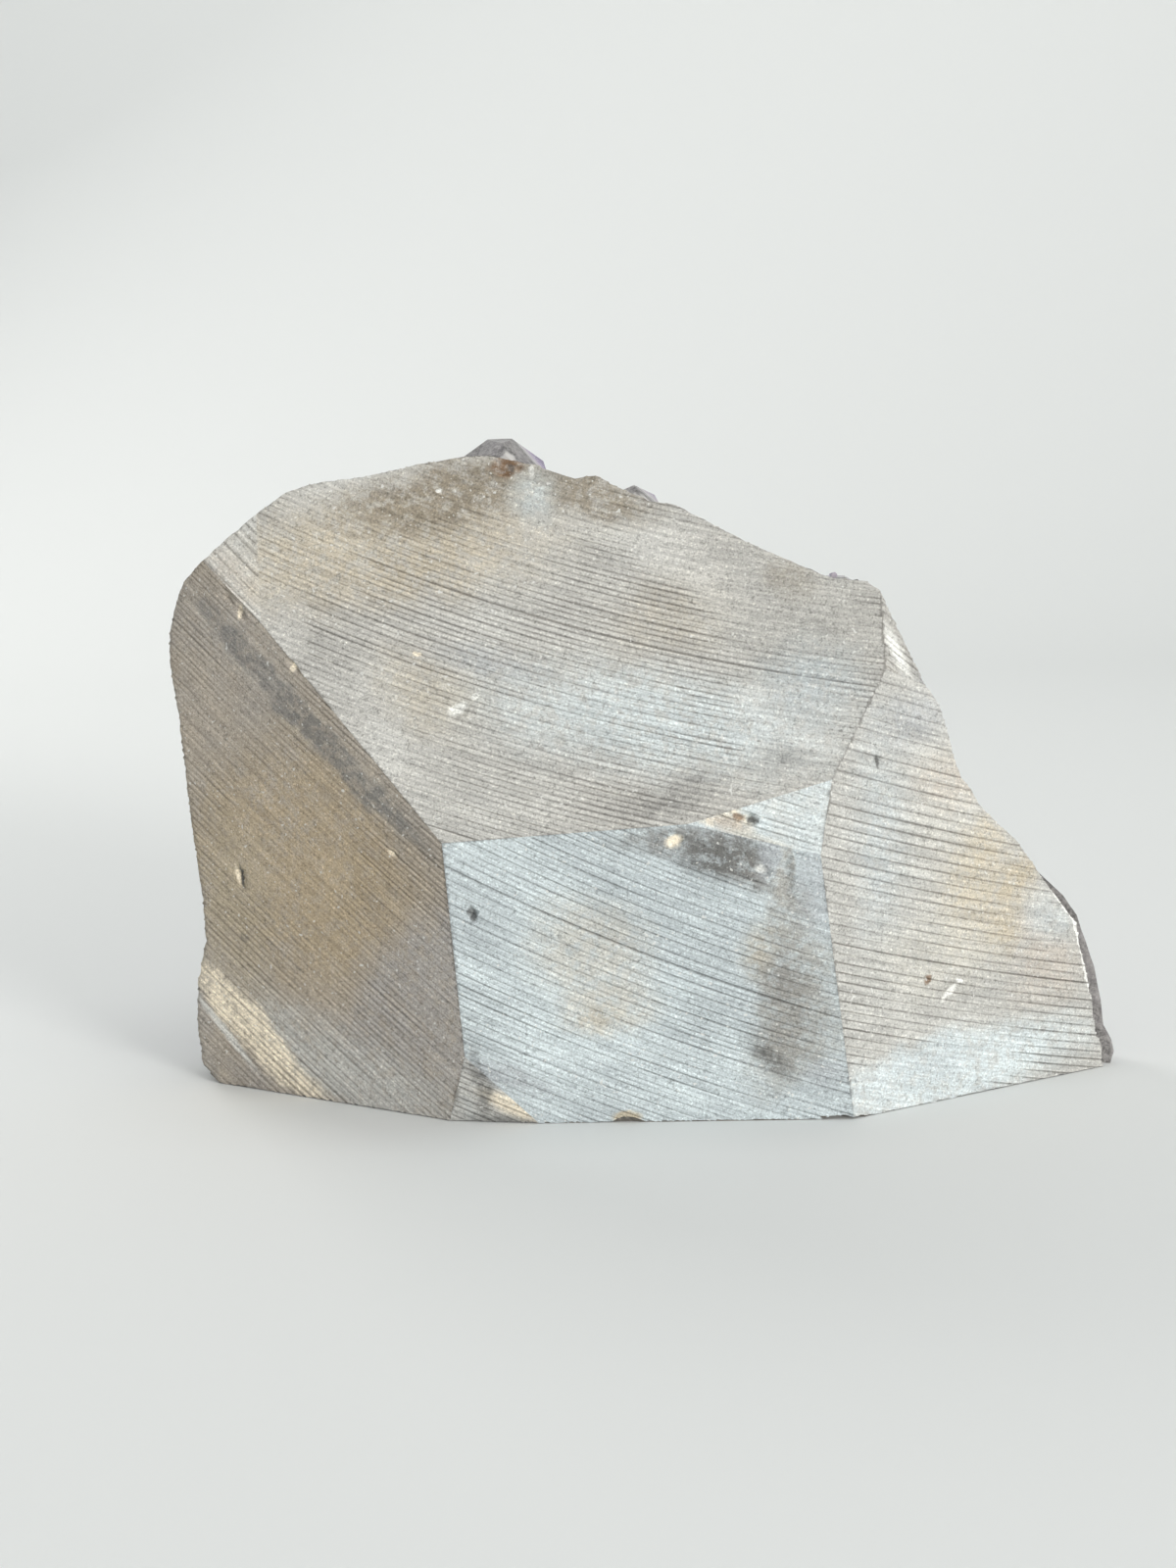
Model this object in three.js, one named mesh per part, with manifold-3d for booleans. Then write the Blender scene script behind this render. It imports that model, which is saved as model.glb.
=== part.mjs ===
// Amethyst cluster: a slab of geode wall with sawn back and base, and crystals grown on its far face.
// Millimetres, +Z up. The sawn back looks towards -Y, the crystals towards +Y, the base rests on z = 0.

import * as THREE from "three";
import { mergeVertices } from "three/addons/utils/BufferGeometryUtils.js";
import Module from "manifold-3d";

const wasm = await Module();
wasm.setup();

// Driving dimensions of the rock
const clusterWidth = 219.5;
const clusterHeight = 148.8;
const wallReach = 14.4; // how far behind the frame's middle the rock ends at the base
const wallLean = 12; // how much less that is at the crest
const rightWrap = 13; // how far the far face bends forward to the right rim
const crestWrap = 6; // and to the crest crystal
const wallWaves = 1.6; // height of the slow waves in the rock's far face
const footDepth = 8; // pale quartz layer between the rock and the crystals
const seam = 0.4; // clearance between the rock and the crystals' foot
const brokenDepth = 5; // how far the broken rim falls in behind the sawn faces
const brokenFrom = 3; // where that starts behind their edges
const brokenTo = 22; // where it is full

// Driving dimensions of the crystals
const crystalSpacing = 14.2;
const smallestCrystal = 4.6; // radius across the corners
const largestCrystal = 12.5;
const tipSlope = 1.1; // height of a crystal's tip over its radius
const fieldSeed = 41;

// Rim of the rock seen from the sawn side, as x and z, from the base round the left to the right
const leftRim = [
  [-105.9, 0], [-109.9, 4.5], [-110.5, 16], [-109.4, 26], [-106.6, 36], [-106.6, 47], [-107.9, 62.5],
  [-109.4, 91], [-110.6, 102], [-110.4, 109], [-108.7, 115], [-105.6, 122], [-100.2, 127],
];
const crest = [
  [-95.7, 131], [-85.9, 138.6], [-80.9, 141.7], [-75.4, 143.6], [-61.9, 145], [-49.6, 147.5],
  [-40.7, 148.6], [-34.9, clusterHeight], [-23.9, 146.4], [-15.2, 143.2], [-10.4, 143.9],
  [-6.5, 141.5], [1.1, 138], [7.6, 136.6], [12.9, 133.7], [24.6, 127.4], [37.3, 121.6],
  [41.5, 119.8], [49, 119],
];
const rightRim = [
  [51.5, 117.2], [54.4, 111], [61.7, 95.5], [65.2, 90.8], [68.1, 80.6], [70, 74.4], [72.9, 70.9],
  [74.4, 67.6], [84.9, 57.3],
];
const rockCorner = [
  [92.6, 46], [98.1, 38.5], [100.3, 36], [100.7, 31.5], [102.6, 25], [104.3, 17], [105.3, 9.5],
  [106.9, 5.5], [107.4, 0],
];
const crustCorner = [
  [94.6, 46.5], [99.6, 40.8], [102.5, 36], [104.4, 29.5], [106.1, 23.6], [107.5, 15.5],
  [108.1, 9.4], [110, 5.7], [110.6, 2.9], [109.7, 0],
];
const rockRim = [...leftRim, ...crest, ...rightRim, ...rockCorner];
const crustRim = [...leftRim, ...crest, ...rightRim, ...crustCorner];

// Sawn faces: the way each one looks (degrees from -Y towards +X), its lean back, a point on it
const sawnFaces = {
  upperFace: { turn: -3.9, lean: 19.7, point: [-26.9, -29.5, 90.5] },
  leftFace: { turn: -31.2, lean: -4.5, point: [-75.2, -17.8, 42.2] },
  lowerFace: { turn: -2.5, lean: -3.2, point: [-2.3, -37.4, 32.9] },
  rightFace: { turn: 28.9, lean: 0.7, point: [70.1, -22.2, 38] },
  smallFace: { turn: 0, lean: 6.4, point: [26.2, -39.6, 70.1] },
  rightChamfer: { turn: 35.3, lean: 16.6, point: [52.9, -28.4, 106.2] },
  leftChamfer: { turn: -8, lean: 19.4, point: [-94.5, -11.3, 126.9] },
};

// Broken faces, given as the sawn ones are: the lower left corner and the tip of the crest crystal
const brokenCorner = { turn: -10.6, lean: -11.2, point: [-27, -34.5, 0] };
const brokenTip = { turn: 10, lean: 80, point: [-32.2, 5, 151.8] };

// Chips broken from the lower edge: centre and size across
const chips = [
  { point: [-7.4, -36, -1], size: [9, 4.5, 5] },
  { point: [40, -36.5, -1], size: [14, 5, 4.5] },
];

// Crystals that show past the rim: foot, direction, radius, height and the height of the tip
const crestCrystals = [
  { foot: [-32.2, 8, 136], direction: [0, -0.1, 1], radius: 12.6, height: 18.4, tip: 11, spin: 10 },
  { foot: [-1.4, 9, 131], direction: [0, -0.1, 1], radius: 7, height: 9.9, tip: 4.6, spin: 15 },
];

const degrees = Math.PI / 180;
const bulk = 4 * clusterWidth; // size of the blocks that stand for half of space
const rimRun = 110; // length of the rim's prism
const rimSteps = 18;
const rimMiddle = 0.4 * clusterHeight; // height of the point that the broken rim falls in towards

// Repeatable random numbers from 0 to 1
function randomSource(seed) {
  let state = seed;
  return () => {
    state = (state + 0x6d2b79f5) | 0;
    let mixed = Math.imul(state ^ (state >>> 15), 1 | state);
    mixed = (mixed + Math.imul(mixed ^ (mixed >>> 7), 61 | mixed)) ^ mixed;
    return ((mixed ^ (mixed >>> 14)) >>> 0) / 4294967296;
  };
}

// A closed geometry as a solid, without the triangles that shrink to a line on a lathe's axis
function solidOf(geometry) {
  const bare = geometry.clone();
  bare.deleteAttribute("normal");
  bare.deleteAttribute("uv");
  const merged = mergeVertices(bare, 1e-4);
  const corners = merged.index.array;
  const kept = [];
  for (let i = 0; i < corners.length; i += 3) {
    const [a, b, c] = corners.slice(i, i + 3);
    if (a !== b && b !== c && c !== a) kept.push(a, b, c);
  }
  const vertProperties = new Float32Array(merged.attributes.position.array);
  return new wasm.Manifold(
    new wasm.Mesh({ numProp: 3, vertProperties, triVerts: new Uint32Array(kept) }),
  );
}

// The one body of a solid that holds its volume, without crumbs or sealed hollows
function mainBody(solid) {
  const bodies = solid.decompose();
  return bodies.reduce((best, body) => (body.volume() > best.volume() ? body : best));
}

function geometryOf(solid) {
  const mesh = solid.getMesh();
  const geometry = new THREE.BufferGeometry();
  geometry.setAttribute("position", new THREE.BufferAttribute(mesh.vertProperties, 3));
  geometry.setIndex(new THREE.BufferAttribute(mesh.triVerts, 1));
  geometry.computeVertexNormals();
  return geometry;
}

// How far back the sawn faces lie at x and z
function sawnDepth(x, z) {
  const depths = Object.values(sawnFaces).map(({ turn, lean, point }) => {
    const slopeX = Math.tan(turn * degrees);
    const slopeZ = Math.tan(lean * degrees) / Math.cos(turn * degrees);
    return point[1] + slopeX * (x - point[0]) + slopeZ * (z - point[2]);
  });
  return Math.max(...depths);
}

// Everything inside the rim: straight to the front, broken and uneven behind the sawn faces
function rimPrism(rim) {
  const shape = new THREE.Shape(rim.map(([x, z]) => new THREE.Vector2(x, z)));
  const settings = { depth: rimRun, steps: rimSteps, bevelEnabled: false };
  const geometry = new THREE.ExtrudeGeometry(shape, settings);
  geometry.rotateX(90 * degrees);
  geometry.translate(0, rimRun / 2, 0);
  const place = geometry.attributes.position;
  for (let i = 0; i < place.count; i += 1) {
    const [x, y, z] = [place.getX(i), place.getY(i), place.getZ(i)];
    const behind = y - sawnDepth(x, z) - brokenFrom;
    const share = THREE.MathUtils.smoothstep(behind, 0, brokenTo - brokenFrom);
    const knobs = Math.sin(y / 5 + x / 9) * Math.sin(y / 8 - z / 7) + Math.sin(x / 5 + z / 6);
    const inwards = brokenDepth * share * (0.55 + 0.25 * knobs);
    const reach = Math.hypot(x, z - rimMiddle);
    const shrink = 1 - inwards / reach;
    place.setXYZ(i, x * shrink, y, z < 1 ? z : rimMiddle + (z - rimMiddle) * shrink);
  }
  return solidOf(geometry);
}

// Everything behind one sawn face
function behindFace({ turn, lean, point }) {
  const geometry = new THREE.BoxGeometry(bulk, bulk, bulk);
  geometry.translate(0, bulk / 2, 0);
  geometry.applyMatrix4(
    new THREE.Matrix4().makeRotationFromEuler(
      new THREE.Euler(-lean * degrees, 0, turn * degrees, "ZXY"),
    ),
  );
  geometry.translate(...point);
  return solidOf(geometry);
}

function aboveBase() {
  const geometry = new THREE.BoxGeometry(bulk, bulk, bulk);
  geometry.translate(0, 0, bulk / 2);
  return solidOf(geometry);
}

// Far face of the rock: how far back it lies at x and z
function wallDepth(x, z) {
  const waves = Math.sin(x / 23 + 1) * Math.cos(z / 26) + 0.5 * Math.sin(x / 11 - z / 17);
  const right = THREE.MathUtils.smoothstep(x, 61, 105);
  const top = THREE.MathUtils.smoothstep(z, 0.7 * clusterHeight, clusterHeight);
  const notch = Math.exp(-(((x - crestCrystals[0].foot[0]) / 16) ** 2));
  const bends = wallLean * (z / clusterHeight) ** 2 + rightWrap * right + crestWrap * top * notch;
  return wallReach - bends + wallWaves * waves;
}

// Knobs of the foot layer between the crystals
function footKnobs(x, z) {
  return 0.9 * Math.sin(x / 4.1 + z / 7) * Math.sin(z / 4.7 - x / 9);
}

// Everything in front of the rock's far face moved back by a distance
function beforeFarFace(backBy, steps) {
  const geometry = new THREE.BoxGeometry(
    1.2 * clusterWidth, bulk, 1.4 * clusterHeight, steps, 1, Math.round(steps * 0.8),
  );
  geometry.translate(0, 0, clusterHeight / 2);
  const place = geometry.attributes.position;
  for (let i = 0; i < place.count; i += 1) {
    if (place.getY(i) < 0) continue;
    place.setY(i, wallDepth(place.getX(i), place.getZ(i)) + backBy(place.getX(i), place.getZ(i)));
  }
  return solidOf(geometry);
}

// A rough bite with flat facets
function chip({ point, size }, random) {
  const geometry = new THREE.IcosahedronGeometry(0.5, 0);
  geometry.deleteAttribute("normal");
  geometry.deleteAttribute("uv");
  const merged = mergeVertices(geometry, 1e-4);
  const place = merged.attributes.position;
  for (let i = 0; i < place.count; i += 1) {
    const swell = 0.8 + 0.4 * random();
    place.setXYZ(i, place.getX(i) * swell, place.getY(i) * swell, place.getZ(i) * swell);
  }
  merged.scale(...size);
  merged.translate(...point);
  return solidOf(merged);
}

// A six-sided crystal: its shaft starts below its foot, and its tip faces meet off the middle
function crystal({ foot, direction, radius, height, tip, spin }, random) {
  const root = -footDepth;
  const shoulder = height - tip;
  const profile = [
    new THREE.Vector2(0, root),
    new THREE.Vector2(0.9 * radius, root),
    new THREE.Vector2(radius, shoulder),
    new THREE.Vector2(0, height),
  ];
  const geometry = new THREE.LatheGeometry(profile, 6);
  geometry.deleteAttribute("normal");
  geometry.deleteAttribute("uv");
  const merged = mergeVertices(geometry, 1e-4);
  const place = merged.attributes.position;
  const tipShift = [0.3 * radius * (random() - 0.5), 0.3 * radius * (random() - 0.5)];
  const flatness = 0.85 + 0.3 * random();
  for (let i = 0; i < place.count; i += 1) {
    const level = place.getY(i);
    if (level > shoulder + 0.01) {
      place.setX(i, tipShift[0]);
      place.setZ(i, tipShift[1]);
    } else if (level > root + 0.01) {
      const corner = Math.round(Math.atan2(place.getX(i), place.getZ(i)) / (60 * degrees));
      const step = corner % 2 === 0 ? 0.22 : -0.22;
      place.setY(i, level + radius * (step + 0.2 * (random() - 0.5)));
    }
  }
  merged.scale(flatness, 1, 1 / flatness);
  merged.rotateY(spin * degrees);
  const up = new THREE.Vector3(0, 1, 0);
  const along = new THREE.Vector3(...direction).normalize();
  merged.applyQuaternion(new THREE.Quaternion().setFromUnitVectors(up, along));
  merged.translate(...foot);
  return solidOf(merged);
}

// How far a point lies inside the rim, the base left out, or less than zero outside it
function insideRim(x, z) {
  const spot = new THREE.Vector3(x, Math.max(z, 1), 0);
  const near = new THREE.Vector3();
  let distance = Infinity;
  let crossings = 0;
  for (let i = 0; i + 1 < rockRim.length; i += 1) {
    const from = new THREE.Vector3(...rockRim[i], 0);
    const to = new THREE.Vector3(...rockRim[i + 1], 0);
    new THREE.Line3(from, to).closestPointToPoint(spot, true, near);
    distance = Math.min(distance, near.distanceTo(spot));
    const spans = from.y > spot.y !== to.y > spot.y;
    const crossing = from.x + ((spot.y - from.y) / (to.y - from.y)) * (to.x - from.x);
    if (spans && crossing > spot.x) crossings += 1;
  }
  return crossings % 2 === 1 ? distance : -distance;
}

// Crystals spread over the far face: close together, larger away from the rim, each leaning its way
function crystalField(random) {
  const crystals = [];
  const rowHeight = crystalSpacing * 0.87;
  for (let row = 0; row * rowHeight < clusterHeight; row += 1) {
    const stagger = (row % 2) * 0.5 * crystalSpacing;
    for (let x = -clusterWidth / 2 + stagger; x < clusterWidth / 2; x += crystalSpacing) {
      const footX = x + 0.45 * crystalSpacing * (random() - 0.5);
      const footZ = row * rowHeight + 0.45 * crystalSpacing * (random() - 0.5);
      const room = insideRim(footX, footZ);
      const grown = smallestCrystal + (largestCrystal - smallestCrystal) * random() ** 1.4;
      const lean = [0.75 * (random() - 0.5), 0.75 * (random() - 0.4)];
      const spin = 60 * random();
      const shaft = 0.1 + 0.6 * random();
      if (room < 1.5) continue;
      const radius = Math.min(grown, 3 + 0.75 * room);
      crystals.push({
        foot: [footX, wallDepth(footX, footZ) + footDepth - 1.5, footZ],
        direction: [lean[0] + footX / 420, 1, lean[1]],
        radius,
        height: radius * (tipSlope + shaft),
        tip: radius * tipSlope,
        spin,
      });
    }
  }
  return crystals;
}

function wallRock() {
  const random = randomSource(fieldSeed);
  let rock = rimPrism(rockRim).intersect(beforeFarFace(() => 0, 12));
  for (const face of [...Object.values(sawnFaces), brokenCorner]) {
    rock = rock.intersect(behindFace(face));
  }
  for (const bite of chips) rock = rock.subtract(chip(bite, random));
  return mainBody(rock);
}

function amethystCrystals() {
  const random = randomSource(fieldSeed + 1);
  const foot = (x, z) => footDepth + footKnobs(x, z);
  let crust = beforeFarFace(foot, 22);
  for (const grown of crystalField(random)) crust = crust.add(crystal(grown, random));
  crust = crust.intersect(rimPrism(crustRim));
  for (const grown of crestCrystals) crust = crust.add(crystal(grown, () => 0.5));
  crust = crust.subtract(beforeFarFace(() => seam, 12)).intersect(behindFace(brokenTip));
  return mainBody(crust.intersect(aboveBase()));
}

function meshOf(name, solid, colour, roughness) {
  const material = new THREE.MeshStandardMaterial({ color: colour, roughness, flatShading: true });
  const mesh = new THREE.Mesh(geometryOf(solid), material);
  mesh.name = name;
  return mesh;
}

const cluster = new THREE.Group();
cluster.add(meshOf("wall_rock", wallRock(), 0x8f8b86, 0.85));
cluster.add(meshOf("amethyst_crystals", amethystCrystals(), 0x6a4a8c, 0.2));

export default cluster;
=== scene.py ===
# Looks of the amethyst cluster: the sawn wall rock with its saw marks, and the crystals on its far side.
# Metres, +Z up, in the frame of the part. The sawn back looks towards -Y.

import math
from collections import namedtuple

import bmesh
import bpy
import numpy as np
from mathutils import Matrix, Vector, noise
from mathutils.bvhtree import BVHTree


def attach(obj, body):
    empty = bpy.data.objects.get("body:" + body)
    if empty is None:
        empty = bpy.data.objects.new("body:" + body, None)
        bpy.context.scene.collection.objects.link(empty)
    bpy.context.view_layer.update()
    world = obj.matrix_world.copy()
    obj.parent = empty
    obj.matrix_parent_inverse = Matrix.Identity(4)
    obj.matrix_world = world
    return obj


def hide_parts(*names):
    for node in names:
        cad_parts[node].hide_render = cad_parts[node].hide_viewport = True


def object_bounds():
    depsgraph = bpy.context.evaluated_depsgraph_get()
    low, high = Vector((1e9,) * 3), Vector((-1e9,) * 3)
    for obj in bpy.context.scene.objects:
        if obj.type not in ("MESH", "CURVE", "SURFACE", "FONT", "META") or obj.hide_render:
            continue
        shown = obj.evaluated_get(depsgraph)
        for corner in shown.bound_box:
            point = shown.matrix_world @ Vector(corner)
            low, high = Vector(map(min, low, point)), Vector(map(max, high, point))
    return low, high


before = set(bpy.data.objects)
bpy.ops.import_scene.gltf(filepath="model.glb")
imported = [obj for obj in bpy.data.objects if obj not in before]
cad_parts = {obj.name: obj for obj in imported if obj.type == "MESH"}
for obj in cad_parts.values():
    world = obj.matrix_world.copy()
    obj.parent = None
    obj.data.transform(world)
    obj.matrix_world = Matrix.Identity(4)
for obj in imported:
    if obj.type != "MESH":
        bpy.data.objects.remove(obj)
cad_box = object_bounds()

MM = 0.001

# Camera of the photograph: where it stands, how it is turned, and its lens on a 36 mm tall sensor
CAMERA_PLACE = Vector((-14.1, -506.0, 150.0)) * MM
CAMERA_DOWN = math.radians(8.81)
CAMERA_ROLL = math.radians(1.6)
CAMERA_LENS = 49.95
SENSOR = 36.0

# Stage
STAGE_COLOUR = (0.8, 0.815, 0.8)
ROOM_COLOUR = (0.95, 0.98, 1.0)
ROOM_STRENGTH = 0.4

# Sawn faces: the way each looks (degrees from -Y towards +X), its lean back, a point on it, the centre
# of the saw's arcs across it and up it from that point, the distance between marks at the face's top
# and foot, how strong every second mark is beside the others, and their depth, in millimetres
SAWN_FACES = {
    "corner": dict(turn=-10.6, lean=-11.2, point=(-27.0, -34.5, 0.0), blade=(190, 459),
                   top_mark=1.3, low_mark=1.3, second=0.8, depth=0.1),
    "right_chamfer": dict(turn=35.3, lean=16.6, point=(52.9, -28.4, 106.2), blade=(300, 360),
                          top_mark=1.3, low_mark=1.3, second=0.8, depth=0.22),
    "left_chamfer": dict(turn=-8.0, lean=19.4, point=(-94.5, -11.3, 126.9), blade=(330, 337),
                         top_mark=1.7, low_mark=1.5, second=0.5, depth=0.26),
    "small": dict(turn=0.0, lean=6.4, point=(26.2, -39.6, 70.1), blade=(151, 446),
                  top_mark=1.2, low_mark=1.2, second=0.6, depth=0.22),
    "right": dict(turn=28.9, lean=0.7, point=(70.1, -22.2, 38.0), blade=(239, 878),
                  top_mark=1.4, low_mark=0.85, second=0.15, depth=0.26),
    "lower": dict(turn=-2.5, lean=-3.2, point=(-2.3, -37.4, 32.9), blade=(190, 459),
                  top_mark=1.25, low_mark=1.1, second=0.55, depth=0.28),
    "left": dict(turn=-31.2, lean=-4.5, point=(-75.2, -17.8, 42.2), blade=(621, 840),
                 top_mark=1.2, low_mark=1.5, second=0.85, depth=0.26),
    "upper": dict(turn=-3.9, lean=19.7, point=(-26.9, -29.5, 90.5), blade=(145, 465),
                  top_mark=1.35, low_mark=1.2, second=0.9, depth=0.26),
}

# A saw mark's section from the bottom of one groove to the next: the places on the way where it is
# cut into rows, and its depth at each of them and at the next bottom
MARK_PHASES = (0.0, 0.3, 0.7)
MARK_PROFILE = (1.0, 0.08, 0.08, 1.0)

# How strong and how wide each mark is, with the part of it that is random, and the deep ones
MARK_STRENGTH = 0.65
STRENGTH_SPREAD = 0.3
MARK_WIDTH = 0.88
WIDTH_SPREAD = 0.24
DEEP_SHARE = 0.07
DEEP_EXTRA = 0.4
MARK_SEED = 5

# Steps of the rock's mesh: along the marks, round a sawn face and on the broken rim
ALONG_STEP = 1.2 * MM
SAWN_RIM_STEP = 3.0 * MM
BROKEN_STEP = 3.5 * MM
BROKEN_ROUNDS = 2

# A mesh face belongs to a sawn face if it looks the same way and lies in the same plane
SAME_WAY = 0.9995
SAME_PLANE = 0.05 * MM
BROKEN = 0  # number of the faces that weren't sawn; the sawn ones count from 1
SAME_CORNER = 0.002 * MM  # corners nearer to each other than this are joined
CUT_ACCURACY = 0.0001 * MM

# Noise, as waves to the metre, in the rock's shape: patches where the marks are deep or faint, frayed
# smooth places, lumps of broken rock, nicks where the sawn faces end, ragged pits and the stone's grain;
# and in the uneven dark line along edges between faces, which is partly painted shade
PATCH_WAVES = 40.0
FRAY_WAVES = 120.0
ARRIS_WAVES = 140.0
LUMP_WAVES = 160.0
NICK_WAVES = 420.0
PIT_WAVES = 500.0
GRAIN_WAVES = 900.0

# Patches and edges as a mean and a spread, the grain as a share of the marks' depth, and how far
# smooth places and pits fray, as a share of their size
PATCH_MEAN = 0.8
PATCH_SPREAD = 0.55
ARRIS_MEAN = 0.75
ARRIS_SPREAD = 0.8
GRAIN_SHARE = 0.2
SMOOTH_FRAY = 0.25
PIT_FRAY = 0.3

# Lumps and nicks: their depth in millimetres, how the noise of the lumps fades and shrinks and how
# often, and from where to where rock sinks more and more, in millimetres from the crystals
LUMP_DEPTH = 1.2
NICK_DEPTH = 0.6
LUMP_SHAPE = (0.7, 2.1, 4)
CLEAR_OF_CRYSTALS = (0.3, 4.0)
FLAT_BASE_TOP = 0.2 * MM

# How much of the marks is missing in a smooth place, where its edge and a pit's begin and end, with 1
# as the outline, and the degrees between two faces at which the dark line along their edge, partly
# painted shade, starts and is darkest
SMOOTH_LOSS = 0.85
SMOOTH_EDGE = (0.6, 1.15)
PIT_EDGE = (0.35, 1.0)
ARRIS_BEND = (3.0, 25.0)

# Colours of the stone
STONE = {
    "grey": (0.4, 0.39, 0.365),
    "light": (0.48, 0.475, 0.45),
    "white": (0.7, 0.7, 0.67),
    "bluish": (0.4, 0.44, 0.455),
    "blue_white": (0.52, 0.575, 0.59),
    "blue_grey": (0.32, 0.335, 0.35),
    "slate": (0.19, 0.185, 0.175),
    "dark": (0.12, 0.12, 0.115),
    "taupe": (0.37, 0.325, 0.27),
    "mauve": (0.36, 0.34, 0.32),
    "tan": (0.41, 0.355, 0.265),
    "umber": (0.38, 0.305, 0.205),
    "brown": (0.215, 0.185, 0.14),
    "brown_grey": (0.29, 0.285, 0.265),
    "sand": (0.47, 0.455, 0.41),
    "ochre": (0.43, 0.37, 0.27),
    "pink": (0.4, 0.345, 0.29),
    "cream": (0.82, 0.73, 0.58),
    "rust": (0.15, 0.085, 0.045),
    "pale": (0.37, 0.365, 0.345),
    "broken_dark": (0.11, 0.105, 0.095),
    "broken_light": (0.25, 0.225, 0.19),
    "crumb": (0.4, 0.38, 0.34),
}

# Factors that darken or lighten the stone under them
# Dust with painted shade in the saw marks' grooves and along the edges between sawn faces
DUST_AND_SHADE_TINT = (0.5, 0.49, 0.48)
STREAK_TINT = (1.35, 1.35, 1.34)
DARK_TINT = (0.55, 0.55, 0.54)
SPECK_TINT = (1.35, 1.35, 1.33)
GRAIN_TINT = (1.45, 1.45, 1.43)
# Painted shade in the hollows of the broken rock
HOLLOW_SHADE_TINT = (0.3, 0.3, 0.3)

# A stain: its colour, middle (x, z), half length and half height, how steeply it falls to the right
# in degrees, how soft its edge is and how strongly it covers, from 0 to 1
Stain = namedtuple("Stain", "colour at half fall soft cover")

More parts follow.
